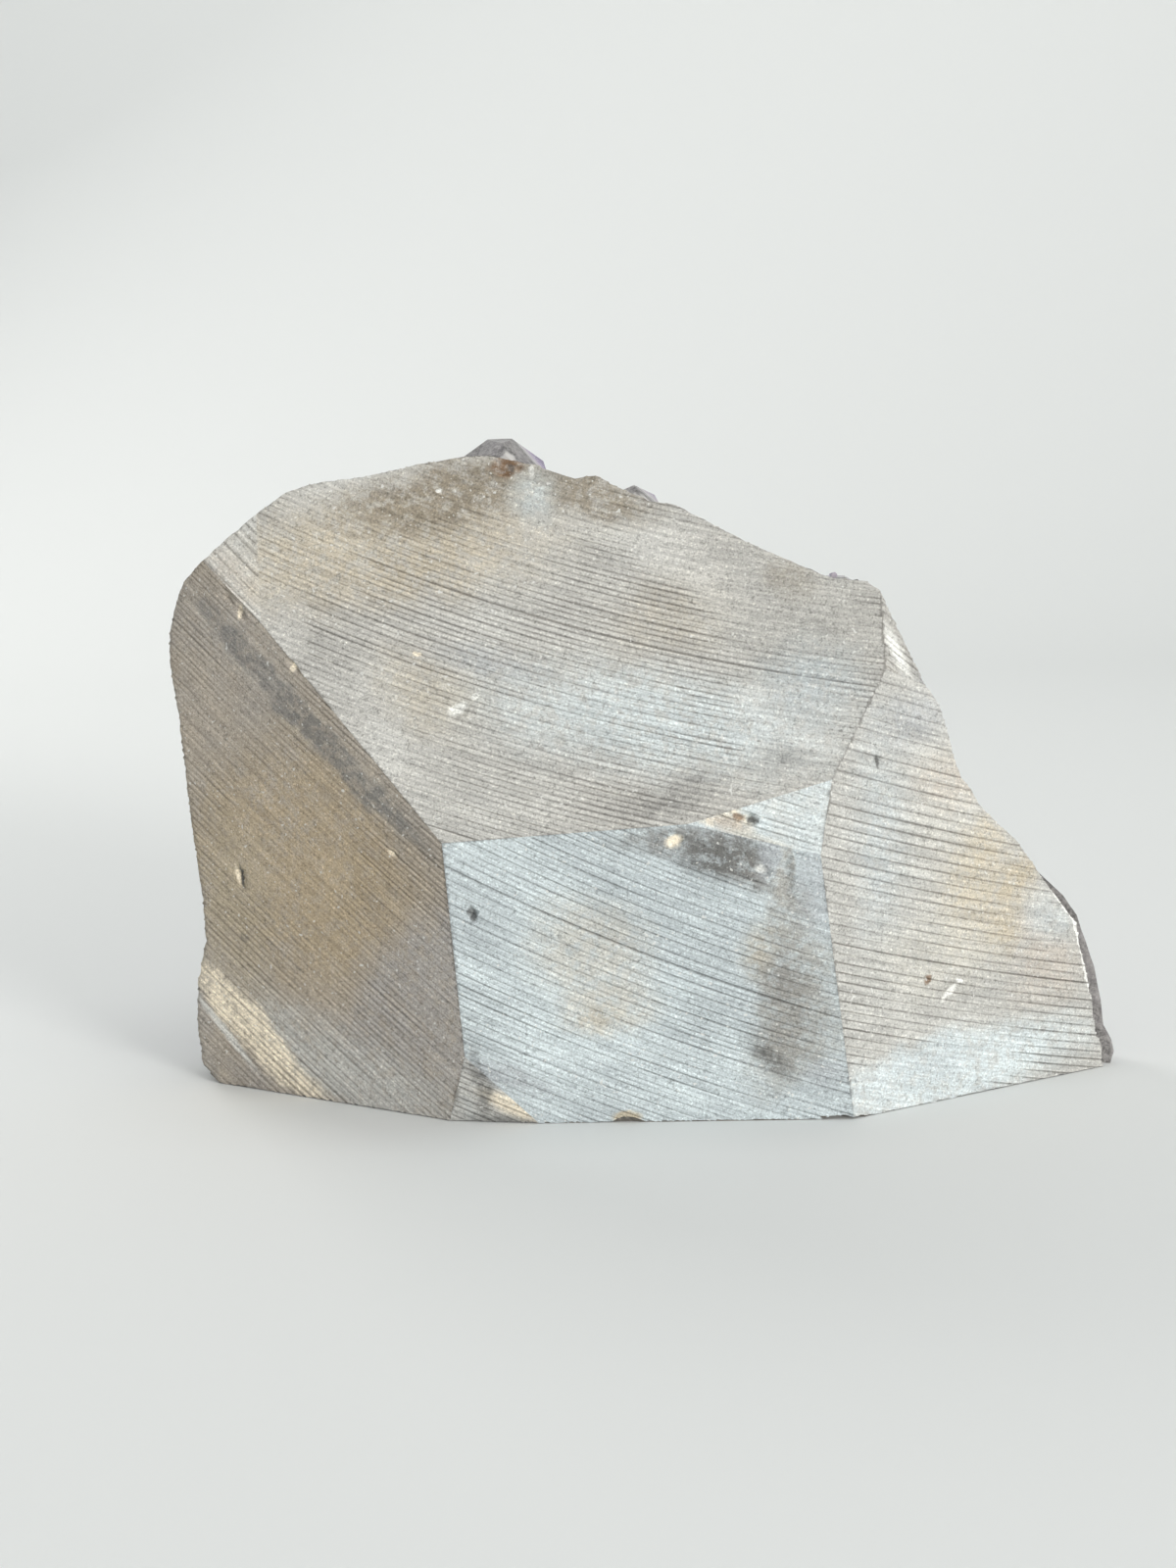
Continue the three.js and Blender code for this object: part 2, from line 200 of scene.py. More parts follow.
STAINS = {
    "upper": [
        Stain("tan", (-60, 128), (40, 13), -4, 0.7, 0.75),
        Stain("tan", (6, 113), (15, 9), -20, 0.9, 0.35),
        Stain("tan", (-49, 98), (12, 9), 30, 0.9, 0.55),
        Stain("brown", (-42, 140), (28, 8), -6, 0.6, 0.95),
        Stain("brown", (-12, 140), (16, 6), 20, 0.7, 0.85),
        Stain("blue_white", (-24, 139), (6, 6), 0, 0.9, 0.6),
        Stain("light", (10, 122), (20, 6), 22, 0.9, 0.5),
        Stain("brown_grey", (28, 121), (20, 4), 26, 0.8, 0.45),
        Stain("brown", (33, 121), (7, 5), 26, 0.9, 0.6),
        Stain("light", (-20, 104), (30, 9), 10, 0.9, 0.45),
        Stain("blue_grey", (-36, 104), (15, 2.6), 12, 0.8, 0.5),
        Stain("blue_white", (0, 90), (40, 11), 8, 0.9, 0.75),
        Stain("brown_grey", (34, 108), (18, 14), 10, 0.9, 0.75),
        Stain("bluish", (36, 98), (12, 8), 10, 0.9, 0.7),
        Stain("slate", (27.7, 81.5), (6, 4), -15, 0.9, 0.55),
        Stain("slate", (3, 74), (12, 3.4), -14, 0.8, 0.6),
        Stain("rust", (-31.1, 146), (3.6, 2.6), 0, 0.5, 0.9),
        Stain("dark", (-29.5, 145.6), (0.8, 0.9), 0, 0.5, 0.6),
        Stain("white", (-42.4, 93.4), (2.4, 1.2), -30, 0.6, 0.85),
        Stain("white", (-38.5, 96), (1.2, 0.5), -40, 0.6, 0.7),
        Stain("cream", (-51.5, 105.3), (0.9, 0.5), 0, 0.5, 0.8),
        Stain("white", (-24.9, 144.9), (0.5, 1.7), 0, 0.6, 0.6),
        Stain("white", (-46, 141), (0.7, 0.5), 0, 0.5, 0.8),
    ],
    "left": [
        Stain("umber", (-82, 58), (30, 30), 0, 0.6, 0.85),
        Stain("umber", (-70, 46), (16, 18), 0, 0.8, 0.5),
        Stain("mauve", (-50, 26), (17, 38), 35, 0.35, 0.9),
        Stain("light", (-82, 11), (20, 8), 46, 0.9, 0.8),
        Stain("mauve", (-97, 110), (12, 10), 30, 0.8, 0.6),
        Stain("slate", (-78, 91.5), (40, 3.6), 46, 0.4, 0.85),
        Stain("slate", (-56, 70), (10, 4), 50, 0.8, 0.6),
        Stain("tan", (-98, 44), (24, 10), 90, 0.9, 0.7),
        Stain("light", (-64, 5), (26, 9), 24, 0.9, 0.85),
        Stain("cream", (-94.5, 14.5), (25, 4.6), 46, 0.45, 1.0),
        Stain("white", (-103, 14), (12, 1), 50, 0.6, 0.7),
        Stain("slate", (-108, 3), (5, 2.5), 40, 0.7, 0.6),
        Stain("dark", (-95.5, 52.9), (3.2, 0.35), 84, 0.5, 0.9),
        Stain("cream", (-96.5, 53.5), (2.4, 0.45), 80, 0.6, 0.6),
        Stain("cream", (-91.5, 115.2), (0.6, 1.8), 15, 0.5, 0.8),
        Stain("cream", (-79.1, 103.3), (0.7, 1.7), 30, 0.5, 0.8),
        Stain("cream", (-58, 62), (1.1, 0.9), 0, 0.6, 0.6),
        Stain("dark", (-96, 38), (1.2, 0.9), 40, 0.6, 0.4),
    ],
    "lower": [
        Stain("blue_white", (-6, 16), (30, 12), 18, 0.9, 0.8),
        Stain("sand", (-15, 40), (14, 12), 20, 0.7, 0.75),
        Stain("sand", (-11, 27), (12, 6), -5, 0.5, 0.7),
        Stain("tan", (-13, 24.5), (5, 3), 0, 0.8, 0.5),
        Stain("slate", (8, 65), (17, 3.4), 2, 0.6, 0.8),
        Stain("dark", (15, 61), (10, 4.6), 14, 0.6, 1.0),
        Stain("slate", (22, 57), (6, 4), 40, 0.7, 0.8),
        Stain("cream", (4.2, 64.5), (1.9, 1.4), -30, 0.6, 0.9),
        Stain("white", (23.4, 58), (1.5, 1.1), 20, 0.5, 0.9),
        Stain("blue_grey", (24.5, 61.5), (3, 5), 0, 0.6, 0.8),
        Stain("brown_grey", (29, 57), (2.4, 9), 0, 0.4, 0.9),
        Stain("brown_grey", (29, 49), (5.6, 8), 10, 0.4, 0.75),
        Stain("blue_grey", (36, 54), (5, 13), 8, 0.9, 0.6),
        Stain("brown_grey", (29, 36), (11, 9), 10, 0.45, 0.85),
        Stain("slate", (28, 26), (6, 12), 5, 0.7, 0.85),
        Stain("dark", (28, 16), (6, 8), -10, 0.8, 0.6),
        Stain("ochre", (22, 41), (5, 6), 20, 0.8, 0.35),
        Stain("brown_grey", (31, 22), (10, 11), 0, 0.5, 0.75),
        Stain("brown_grey", (26, 14), (8, 9), 20, 0.6, 0.6),
        Stain("dark", (24.5, 14.5), (7, 3), 35, 0.8, 0.7),
        Stain("blue_grey", (37, 10), (5, 4), 0, 0.6, 0.6),
        Stain("blue_grey", (-34, 11), (10, 3), 22, 0.6, 0.7),
        Stain("dark", (-40.5, 14.5), (1.4, 5), 0, 0.6, 0.6),
        Stain("dark", (-40.4, 48.9), (1.0, 1.9), -15, 0.4, 0.75),
        Stain("dark", (39.6, 48), (2.6, 0.5), 14, 0.5, 0.7),
        Stain("ochre", (-7.4, 1.2), (3.4, 1.6), 0, 0.4, 0.9),
    ],
    "small": [
        Stain("cream", (13, 71), (9, 2.8), 20, 0.7, 0.85),
        Stain("pink", (16, 68), (5, 2), 20, 0.8, 0.7),
        Stain("rust", (18.4, 69.4), (1.6, 0.9), 20, 0.6, 0.8),
        Stain("dark", (21.5, 68.6), (1.2, 1.0), 0, 0.5, 0.9),
        Stain("white", (13.5, 70.6), (1.8, 0.8), -40, 0.5, 0.9),
        Stain("light", (32, 72), (14, 5), 14, 0.9, 0.5),
        Stain("sand", (24, 63.5), (10, 1.6), 20, 0.6, 0.7),
    ],
    "right": [
        Stain("blue_grey", (58, 88), (10, 6), 10, 0.8, 0.6),
        Stain("bluish", (50, 62), (7, 26), 0, 0.9, 0.6),
        Stain("sand", (70, 60), (12, 26), 0, 0.8, 0.5),
        Stain("ochre", (84.7, 49), (5, 5), 0, 0.8, 0.7),
        Stain("ochre", (76, 58), (5, 6), 30, 0.9, 0.5),
        Stain("ochre", (75, 46), (11, 14), 10, 0.9, 0.6),
        Stain("pink", (67, 73), (8, 6), 20, 0.9, 0.5),
        Stain("ochre", (81, 37), (4, 7), 20, 0.9, 0.6),
        Stain("sand", (62, 34), (15, 9), 10, 0.8, 0.6),
        Stain("pink", (92, 28), (10, 12), 0, 0.9, 0.5),
        Stain("bluish", (94, 38), (8, 5), 45, 0.8, 0.6),
        Stain("blue_white", (68, 7), (34, 9), -4, 0.55, 0.9),
        Stain("bluish", (62, 9), (14, 6), 0, 0.8, 0.6),
        Stain("white", (66.9, 25), (2.9, 0.7), -42, 0.5, 1.0),
        Stain("white", (69.4, 27.4), (1.0, 0.5), 40, 0.5, 1.0),
        Stain("rust", (61.5, 28.8), (0.8, 1.3), 10, 0.5, 0.8),
        Stain("dark", (49.6, 79.9), (1.6, 0.35), 82, 0.5, 0.9),
        Stain("white", (96.6, 41), (9, 0.8), 54, 0.3, 1.0),
        Stain("white", (100.6, 32.5), (5.5, 0.8), 72, 0.3, 1.0),
        Stain("white", (102.7, 23.5), (8, 0.7), 76, 0.3, 1.0),
    ],
    "corner": [
        Stain("blue_grey", (-30, 8), (14, 3), 30, 0.7, 0.8),
        Stain("cream", (-33, 4), (8, 2.2), 28, 0.7, 0.8),
        Stain("dark", (-40, 9), (2.2, 9), -8, 0.7, 0.75),
        Stain("dark", (-34, 0), (9, 1.8), 6, 0.7, 0.7),
    ],
    "right_chamfer": [
        Stain("white", (54.7, 103.5), (7, 1.4), 66, 0.7, 0.8),
        Stain("blue_grey", (60, 94), (5, 4), 0, 0.8, 0.5),
    ],
    "left_chamfer": [
        Stain("pink", (-95, 124), (9, 6), 40, 0.8, 0.4),
    ],
}
COARSE_STAINS = 2.4  # half height in millimetres above which a stain's edge is frayed in large waves
STAIN_REACH = 1000.0  # how far a stain goes into the stone, so that only its place on the face counts
STREAK_SHRINK = 0.05  # streaks are drawn out along the saw's arcs by one over this

# The two colours that mottle each face. Besides the stone's own tones, their brightness from face to face
# is
# partly painted light and shade: the lower face's are lighter and the left face's darker
FACE_COLOURS = {
    "upper": ("grey", "light"),
    "left": ("taupe", "mauve"),
    "lower": ("bluish", "blue_white"),
    "small": ("blue_white", "light"),
    "right": ("pale", "light"),
    "right_chamfer": ("grey", "slate"),
    "left_chamfer": ("light", "tan"),
    "corner": ("grey", "bluish"),
}

# Places where the saw left almost no marks: middle, half size and fall, as for a stain
SMOOTH_PLACES = {
    "upper": [((-45, 142), (50, 7), -8), ((-24, 138), (9, 9), 0), ((22, 120), (34, 8), 24),
              ((-85, 112), (10, 9), 30), ((30, 88), (13, 12), 0)],
    "left": [((-78, 91.5), (41, 4), 46), ((-84, 62), (18, 20), 0)],
    "lower": [((15, 62), (14, 5), 14), ((27, 56), (5, 8), 0), ((37, 52), (6, 12), 0)],
    "right": [((62, 6), (26, 8), 0), ((93, 36), (10, 5), 45)],
    "small": [((38, 68), (6, 6), 0)],
}

# Pits and chips: middle, half size and fall, as for a stain, and depth in millimetres
PITS = {
    "upper": [((-42.4, 93.4), (3.4, 2.2), -30, 0.8), ((-31.1, 146), (3, 2.4), 0, 0.5),
              ((27.7, 81.5), (2.2, 1.6), 0, 0.5)],
    "left": [((-95.8, 52.9), (3.6, 0.8), 84, 1.3), ((-91.5, 115.2), (2.4, 1.1), 75, 0.9),
             ((-79.1, 103.3), (2.6, 1.2), 60, 0.8), ((-94, 118.5), (2, 1.1), 60, 0.7),
             ((-58, 62), (1.5, 1.2), 0, 0.6)],
    "lower": [((-40.4, 48.9), (1.3, 2.2), -15, 1.4), ((23.4, 57.4), (2.4, 1.6), 20, 0.8),
              ((4.2, 64.2), (3, 2), -30, 0.6), ((28.5, 56), (2.2, 6), 0, 0.7)],
    "small": [((20.6, 68.8), (2.6, 1.7), 10, 1.6), ((13.5, 70), (3.6, 1.3), 20, 0.8)],
    "right": [((67.2, 25.4), (3.6, 1.2), -42, 0.8), ((61.5, 28.8), (1.1, 1.6), 10, 0.8),
              ((49.6, 79.9), (2.0, 0.7), 82, 0.9), ((86, 49), (2.6, 2), 40, 0.5)],
}

# Crystals: the heights over the rock, in millimetres, where white chalcedony, pale quartz and
# amethyst follow each other, and how far noise shifts them
CHALCEDONY_TOP = 1.9
QUARTZ_FROM = 2.7
QUARTZ_TO = 5.5
AMETHYST_FROM = 15.0
BAND_WAVES = 2.0
CHALCEDONY = (0.78, 0.76, 0.72)
CRUMBS_DARK = (0.14, 0.135, 0.13)
CRUMBS_LIGHT = (0.4, 0.385, 0.37)
PALE_QUARTZ = (0.43, 0.405, 0.41)
VIOLET = (0.52, 0.37, 0.72)
VIOLET_DEPTH = (0.6, 0.3, 0.83)  # colour that light takes on its way through a crystal
VIOLET_DENSITY = 36.0
QUARTZ_IOR = 1.54
SAWN_BASE_TOP = 0.1 * MM  # crystals that the saw cut through here are frosted
CREST_FOOT = 132.0 * MM  # above this, crystals are grey and matt where they look over the crest
DUSTY_BEFORE = 12.0 * MM  # how far back that reaches

# Small crystals strewn over the foot: how many are tried, their radius in millimetres, their height
# over their radius, how high over the rock in millimetres they may stand, how far they lean at
# random and towards the far side, and how much the face that carries one has to face that way
SMALL_CRYSTALS = 1900
SMALL_RADIUS = (0.8, 2.6)
SMALL_HEIGHT = (1.4, 2.4)
SMALL_RISE = (5.0, 12.5)
SMALL_LEAN = 0.35
SMALL_OUTWARDS = Vector((0.0, 0.5, 0.0))
SMALL_FACING = 0.15
SMALL_OVER_BASE = 4.0 * MM
SMALL_SEED = 12


def smooth(value, low, high):
    """0 up to low, 1 from high on, and a soft rise between them."""
    share = min(max((value - low) / (high - low), 0.0), 1.0)
    return share * share * (3.0 - 2.0 * share)


def noise_share(place):
    """Noise from about 0 to 1."""
    return 0.5 + 0.5 * noise.noise(place)


def ellipse_distance(place, middle, half, fall):
    """How far a place is from a tilted ellipse's middle, where 1 is its edge; lengths in millimetres."""
    across, up = place.x / MM - middle[0], place.z / MM - middle[1]
    angle = math.radians(fall)
    along = across * math.cos(angle) - up * math.sin(angle)
    aside = across * math.sin(angle) + up * math.cos(angle)
    return math.hypot(along / half[0], aside / half[1])


class SawnFace:
    """A flat sawn face with its own axes and the arcs that the saw left on it."""

    def __init__(self, name, turn, lean, point, blade, top_mark, low_mark, second, depth):
        self.name = name
        turn, lean = math.radians(turn), math.radians(lean)
        self.normal = Vector((
            math.sin(turn) * math.cos(lean), -math.cos(turn) * math.cos(lean), math.sin(lean)))
        self.across = Vector((math.cos(turn), math.sin(turn), 0.0))
        self.up = self.normal.cross(self.across)
        self.point = Vector(point) * MM
        self.blade = Vector(blade) * MM
        self.radius = self.blade.length
        self.top_mark, self.low_mark = top_mark * MM, low_mark * MM
        self.second, self.depth = second, depth * MM
        self.starts, self.strengths = [], []

    def blade_centre(self):
        return self.point + self.across * self.blade.x + self.up * self.blade.y

    def holds(self, face):
        """Whether a face of the mesh lies in this plane."""
        gap = abs((face.calc_center_median() - self.point).dot(self.normal))
        return face.normal.dot(self.normal) > SAME_WAY and gap < SAME_PLANE

    def unrolled(self, place):
        """A place on the face as the length along the saw's arc and the distance from its centre."""
        across = (place - self.point).dot(self.across) - self.blade.x
        up = (place - self.point).dot(self.up) - self.blade.y
        return Vector((self.radius * math.atan2(across, -up), math.hypot(across, up), 0.0))

    def rolled(self, flat):
        """The place on the face of a length along the arc and a distance from its centre."""
        angle = flat.x / self.radius
        across = self.blade.x + flat.y * math.sin(angle)
        up = self.blade.y - flat.y * math.cos(angle)
        return self.point + self.across * across + self.up * up

    def plan_marks(self, low, high, random):
        """Sets where each saw mark starts and how deep it is, from the arc's nearest edge outwards."""
        level = low
        while level < high:
            share = (level - low) / (high - low)
            strength = MARK_STRENGTH + STRENGTH_SPREAD * random.random()
            if random.random() < DEEP_SHARE:
                strength += DEEP_EXTRA
            self.strengths.append(strength * (self.second if len(self.starts) % 2 else 1.0))
            self.starts.append(level)
            width = self.top_mark + (self.low_mark - self.top_mark) * share
            level += width * (MARK_WIDTH + WIDTH_SPREAD * random.random())
        self.starts.append(level)

    def mark_depth(self, level):
        """How deep the marks are at a distance from the arc's centre, from 0 to about 1."""
        index = int(np.searchsorted(self.starts, level, side="right")) - 1
        index = min(max(index, 0), len(self.strengths) - 1)
        start, end = self.starts[index], self.starts[index + 1]
        phase = min(max((level - start) / (end - start), 0.0), 1.0)
        after = self.strengths[min(index + 1, len(self.strengths) - 1)]
        strength = self.strengths[index] if phase < 0.5 else after
        return strength * float(np.interp(phase, (*MARK_PHASES, 1.0), MARK_PROFILE))

    def smoothness(self, place):
        """How much of the marks is missing at a place, from 0 to 1."""
        fray = SMOOTH_FRAY * noise.noise(place * FRAY_WAVES)
        most = 0.0
        for middle, half, fall in SMOOTH_PLACES.get(self.name, []):
            distance = ellipse_distance(place, middle, half, fall) + fray
            most = max(most, 1.0 - smooth(distance, *SMOOTH_EDGE))
        return most

    def pit_depth(self, place):
        """How deep the deepest pit at a place is."""
        fray = PIT_FRAY * noise.noise(place * PIT_WAVES)
        deepest = 0.0
        for middle, half, fall, depth in PITS.get(self.name, []):
            distance = ellipse_distance(place, middle, half, fall) + fray
            deepest = max(deepest, depth * MM * (1.0 - smooth(distance, *PIT_EDGE)))
        return deepest


def node_tree(name):
    """A search tree of the surface of a node."""
    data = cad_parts[name].data
    corners = [vert.co for vert in data.vertices]
    return BVHTree.FromPolygons(corners, [face.vertices for face in data.polygons])


def node_mesh(name):
    """A copy of a node's mesh, with its shared corners joined."""
    mesh = bmesh.new()
    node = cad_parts[name]
    mesh.from_mesh(node.data)
    mesh.transform(node.matrix_world)
    bmesh.ops.remove_doubles(mesh, verts=mesh.verts, dist=SAME_CORNER)
    mesh.normal_update()
    return mesh


def finished_piece(name, mesh, materials, node=None):
    """Turns a bmesh into a piece of the part that rides on its body."""
    data = bpy.data.meshes.new(name)
    mesh.to_mesh(data)
    mesh.free()
    for material in materials:
        data.materials.append(material)
    piece = bpy.data.objects.new(name, data)
    bpy.context.collection.objects.link(piece)
    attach(piece, "root")
    if node:
        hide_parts(node)


def slice_faces(mesh, faces, axis, levels):
    """Cuts flat faces into parallel strips at rising levels along an axis and returns all of them."""
    done, left = [], list(faces)
    for level in levels:
        if not left:
            break
        around = set()
        for face in left:
            around.update(face.edges)
            around.update(face.verts)
        cut = bmesh.ops.bisect_plane(
            mesh, geom=left + list(around), dist=CUT_ACCURACY, plane_co=axis * level, plane_no=axis)
        pieces = [part for part in cut["geom"] if isinstance(part, bmesh.types.BMFace)]
        left = []
        for piece in pieces:
            beyond = piece.calc_center_median().dot(axis) > level
            (left if beyond else done).append(piece)
    return done + left


def split_long_edges(mesh, edges, longest):
    """Halves edges until none of them is longer than a length."""
    left = [edge for edge in edges if edge.calc_length() > longest]
    while left:
        cut = bmesh.ops.subdivide_edges(mesh, edges=left, cuts=1)
        parts = [part for part in cut["geom_split"] if isinstance(part, bmesh.types.BMEdge)]
        left = [edge for edge in parts if edge.is_valid and edge.calc_length() > longest]


def saw_marks(mesh, face, number, random):
    """Cuts one sawn face into rows along the saw's arcs and short steps across them."""
    parts = [part for part in mesh.faces if part.material_index == number]
    bmesh.ops.dissolve_faces(mesh, faces=parts, use_verts=False)
    merged = [part for part in mesh.faces if part.material_index == number]
    rim = {edge for part in merged for edge in part.edges}
    split_long_edges(mesh, rim, SAWN_RIM_STEP)
    verts = {vert for part in merged for vert in part.verts}
    for vert in verts:
        vert.co = face.unrolled(vert.co)
    distances = [vert.co.y for vert in verts]
    lengths = [vert.co.x for vert in verts]
    face.plan_marks(min(distances), max(distances), random)
    levels = []
    for start, end in zip(face.starts, face.starts[1:]):
        levels += [start + (end - start) * phase for phase in MARK_PHASES]
    rows = slice_faces(mesh, merged, Vector((0.0, 1.0, 0.0)), levels)
    steps = np.arange(min(lengths) + ALONG_STEP, max(lengths), ALONG_STEP)
    cells = slice_faces(mesh, rows, Vector((1.0, 0.0, 0.0)), steps)
    for vert in {vert for cell in cells for vert in cell.verts}:
        vert.co = face.rolled(vert.co)


def refine_broken_rim(mesh):
    """Halves the long edges between faces that weren't sawn."""
    for _ in range(BROKEN_ROUNDS):
        inner = [edge for edge in mesh.edges if edge.calc_length() > BROKEN_STEP
                 and all(part.material_index == BROKEN for part in edge.link_faces)]
        bmesh.ops.subdivide_edges(mesh, edges=inner, cuts=1, use_grid_fill=True)


def sawn_move(place, kinds, faces):
    """How marks, grain and pits move a vertex of sawn faces, and how deep the marks are there."""
    move, deepest = Vector(), 0.0
    for kind in kinds - {BROKEN}:
        face = faces[kind - 1]
        depth = face.mark_depth(face.unrolled(place).y)
        apart = Vector((kind, 0.0, 0.0))
        patch = PATCH_MEAN + PATCH_SPREAD * noise.noise(place * PATCH_WAVES + apart)
        cut = depth * patch * (1.0 - SMOOTH_LOSS * face.smoothness(place))
        grain = GRAIN_SHARE * noise_share(place * GRAIN_WAVES)
        sunk = face.depth * (cut + grain) + face.pit_depth(place)
        move -= face.normal * sunk / len(kinds)
        deepest = max(deepest, cut)
    return move, deepest


def arris_mark(place, kinds, faces):
    """How dark the line painted where sawn faces meet is, partly dark stone and partly painted shade: the
    more they turn, the darker.
    """
    first, *_, last = (faces[kind - 1].normal for kind in sorted(kinds - {BROKEN}))
    bend = smooth(math.degrees(first.angle(last)), *ARRIS_BEND)
    return bend * (ARRIS_MEAN + ARRIS_SPREAD * noise.noise(place * ARRIS_WAVES))


def broken_move(vert, kinds, crust):
    """How a vertex of the broken rim or of its edge sinks; close to the crystals it stays."""
    free = smooth(crust.find_nearest(vert.co)[3] / MM, *CLEAR_OF_CRYSTALS)
    if len(kinds) > 1:
        return -vert.normal * NICK_DEPTH * MM * noise_share(vert.co * NICK_WAVES) * free
    if vert.co.z > FLAT_BASE_TOP:
        lumps = 0.5 + 0.5 * noise.fractal(vert.co * LUMP_WAVES, *LUMP_SHAPE)
        return -vert.normal * LUMP_DEPTH * MM * lumps * free
    return Vector()


def sink_rock(mesh, faces):
    """Sinks the saw marks, pits and broken rim, and keeps each mark's depth as an attribute."""
    mark = mesh.verts.layers.float.new("mark")
    crust = node_tree("amethyst_crystals")
    mesh.normal_update()
    moves = {}
    for vert in mesh.verts:
        kinds = {part.material_index for part in vert.link_faces}
        move, deepest = sawn_move(vert.co, kinds, faces)
        if len(kinds - {BROKEN}) > 1:
            # where sawn faces meet, the mark holds the painted dark line, partly shade, instead of a
            # groove's depth
            deepest = arris_mark(vert.co, kinds, faces)
        if BROKEN in kinds:
            move += broken_move(vert, kinds, crust)
        moves[vert] = move
        vert[mark] = deepest
    for vert, move in moves.items():
        vert.co += move
        vert.co.z = max(vert.co.z, 0.0)


def sawn_rock():
    """The rock with its saw marks, pits and broken rim."""
    mesh = node_mesh("wall_rock")
    random = np.random.default_rng(MARK_SEED)
    faces = [SawnFace(name, **values) for name, values in SAWN_FACES.items()]
    for number, face in enumerate(faces, start=1):
        for part in mesh.faces:
            if face.holds(part):
                part.material_index = number
    for number, face in enumerate(faces, start=1):
        saw_marks(mesh, face, number, random)
    refine_broken_rim(mesh)
    sink_rock(mesh, faces)
    bmesh.ops.triangulate(mesh, faces=[part for part in mesh.faces if len(part.verts) > 4])
    materials = [broken_stone()] + [sawn_stone(face) for face in faces]
    finished_piece("sawn_rock", mesh, materials, "wall_rock")


class Shader:
    """A new material with short calls that add and link its nodes; its noise scales are per millimetre."""

    def __init__(self, name):
        self.material = bpy.data.materials.new(name)
        self.material.use_nodes = True
        self.tree = self.material.node_tree
        self.surface = self.tree.nodes["Principled BSDF"]
        self.output = self.tree.nodes["Material Output"]
        place = self.node("TexCoord").outputs["Object"]
        self.place = self.vector("SCALE", place, scale=1.0 / MM)

    def node(self, kind, values=None, **settings):
        node = self.tree.nodes.new("ShaderNode" + kind)
        for key, value in settings.items():
            setattr(node, key, value)
        for key, value in (values or {}).items():
            self.feed(node.inputs[key], value)
        return node

    def feed(self, socket, value):
        """Links a socket to another one, or sets its plain value."""
        if isinstance(value, bpy.types.NodeSocket):
            self.tree.links.new(value, socket)
        else:
            socket.default_value = value

    def set(self, name, value):
        self.feed(self.surface.inputs[name], value)

    def vector(self, operation, first, second=None, scale=None):
        values = {0: first}
        if second is not None:
            values[1] = second
        if scale is not None:
            values["Scale"] = scale
        node = self.node("VectorMath", values, operation=operation)
        scalar = operation in ("LENGTH", "DISTANCE", "DOT_PRODUCT")
        return node.outputs["Value" if scalar else "Vector"]

    def math(self, operation, first, second):
        return self.node("Math", {0: first, 1: second}, operation=operation).outputs[0]

    def noise(self, scale, detail, roughness, place=None, output=0):
        """Noise in steps of detail, at the surface's own place unless another one is given."""
        place = self.place if place is None else place
        values = {"Vector": place, "Scale": scale, "Detail": detail, "Roughness": roughness}
        return self.node("TexNoise", values).outputs[output]

    def ranged(self, value, low, high, to_low=0.0, to_high=1.0):
        """Maps the range from low to high softly to another range, and holds it outside."""
        values = {0: value, 1: low, 2: high, 3: to_low, 4: to_high}
        return self.node("MapRange", values, interpolation_type="SMOOTHSTEP").outputs[0]

    def mix(self, share, first, second, blend="MIX"):
        """Mixes two colours, each a socket or a plain colour."""
        node = self.node("Mix", {0: share}, data_type="RGBA", blend_type=blend)
        for socket, colour in ((node.inputs[6], first), (node.inputs[7], second)):
            self.feed(socket, colour if isinstance(colour, bpy.types.NodeSocket) else (*colour, 1.0))
        return node.outputs[2]

    def tint(self, share, colour, factor):
        """Darkens or lightens a share of a colour by a factor for each channel."""
        return self.mix(share, colour, factor, "MULTIPLY")

    def warped(self, scale, reach):
        """The place in millimetres, shifted by noise, so that edges of stains fray."""
        waves = self.noise(scale, detail=4.0, roughness=0.65, output="Color")
        middle = self.vector("SUBTRACT", waves, (0.5, 0.5, 0.5))
        return self.vector("ADD", self.place, self.vector("SCALE", middle, scale=reach))

    def attribute(self, name):
        return self.node("Attribute", attribute_name=name).outputs["Fac"]

    def bump(self, height, depth):
        """Roughens the surface by a height from 0 to 1, times a depth in millimetres."""
        values = {"Strength": 1.0, "Distance": depth * MM, "Height": height}
        self.set("Normal", self.node("Bump", values).outputs[0])


def stain_share(shader, stain, place):
    """How strongly a stain covers a place."""
    values = {
        "Vector": place,
        "Location": (stain.at[0], 0.0, stain.at[1]),
        "Rotation": (0.0, math.radians(stain.fall), 0.0),
        "Scale": (stain.half[0], STAIN_REACH, stain.half[1]),
    }
    local = shader.node("Mapping", values, vector_type="TEXTURE").outputs[0]
    distance = shader.vector("LENGTH", local)
    full, end = 1.0 - 0.9 * stain.soft, 1.0 + 0.6 * stain.soft
    return shader.ranged(distance, full, end, to_low=stain.cover, to_high=0.0)


def mottled_colour(shader, face):
    """A face's two colours in large soft patches, whose brightness is partly painted light and shade."""
    first, second = (STONE[name] for name in FACE_COLOURS[face.name])
    mottle = shader.noise(0.05, detail=5.0, roughness=0.6)
    return shader.mix(shader.ranged(mottle, 0.35, 0.7, to_high=0.7), first, second)


def stained(shader, face, colour):
    """Lays a face's stains over a colour, with uneven cover in the coarse ones."""
    broad = shader.warped(0.07, reach=12.0)
    narrow = shader.warped(0.6, reach=1.6)
    blots = shader.noise(0.4, detail=5.0, roughness=0.75)
    cover = shader.ranged(blots, 0.38, 0.56, to_low=0.4)
    for stain in STAINS[face.name]:
        if stain.half[1] > COARSE_STAINS:
            share = shader.math("MULTIPLY", stain_share(shader, stain, broad), cover)
        else:
            share = stain_share(shader, stain, narrow)
        colour = shader.mix(share, colour, STONE[stain.colour])
    return colour


